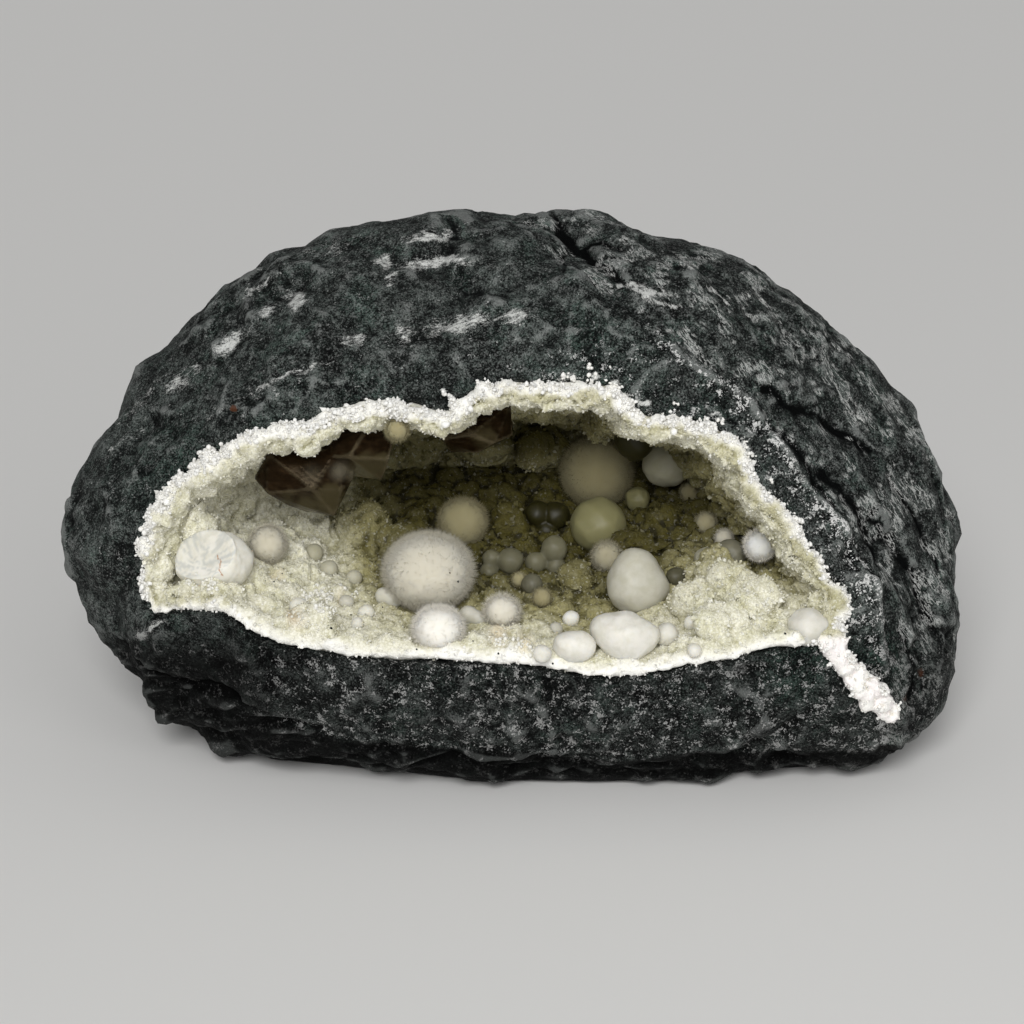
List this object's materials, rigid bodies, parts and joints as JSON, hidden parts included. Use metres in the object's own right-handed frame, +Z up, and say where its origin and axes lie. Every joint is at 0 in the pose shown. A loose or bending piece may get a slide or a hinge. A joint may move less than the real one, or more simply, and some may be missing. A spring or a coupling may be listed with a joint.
{
  "type": "okenite puffball specimen",
  "caption": "Loose dome of dark basalt broken open on a druse-lined hollow that holds fibrous okenite puffballs, smooth mineral balls and smoky calcite blades.",
  "frame": {"origin": "centre of the bounding box, at the flat fracture that the stone rests on", "axes": "+X along the stone's length, +Z up; the hollow opens towards -Y"},
  "size_m": [0.1997, 0.1083, 0.1149],
  "materials": {
    "basalt": "rough",
    "druse": "sugary",
    "okenite": "fibrous",
    "pearl": "pearly",
    "calcite": "clear"
  },
  "bodies": {
    "root": {"basalt": "basalt", "druse_crust": "druse", "back_puffball": "okenite", "deep_puffball": "okenite", "front_puffball": "okenite", "left_puffball": "okenite", "middle_puffball": "okenite", "rear_puffball": "okenite", "right_puffball_1": "okenite", "right_puffball_2": "okenite", "right_puffball_3": "okenite", "rim_puffball": "okenite", "roof_puffball": "okenite", "small_puffball_1": "okenite", "small_puffball_2": "okenite", "tuft_puffball": "okenite", "back_ball": "pearl", "cleaved_pair": "pearl", "column_bead": "pearl", "column_cluster": "pearl", "corner_ball": "pearl", "front_pair": "pearl", "knob_ball": "pearl", "knob_bead": "pearl", "ledge_ball": "pearl", "ledge_bead": "pearl", "left_bead_1": "pearl", "left_bead_2": "pearl", "left_bead_3": "pearl", "left_bead_4": "pearl", "left_bead_5": "pearl", "left_bead_6": "pearl", "left_bead_7": "pearl", "middle_cluster": "pearl", "mound_ball": "pearl", "rear_cluster": "pearl", "right_bead_1": "pearl", "right_bead_2": "pearl", "rim_ball_left": "pearl", "rim_ball_right": "pearl", "rim_cluster": "pearl", "rim_pair": "pearl", "shelf_ball": "pearl", "shell_ball": "pearl", "top_ball": "pearl", "tuft_pair": "pearl", "twin_ball": "pearl", "twin_side_ball": "pearl", "calcite_left": "calcite", "calcite_right": "calcite"}
  },
  "joints": []
}
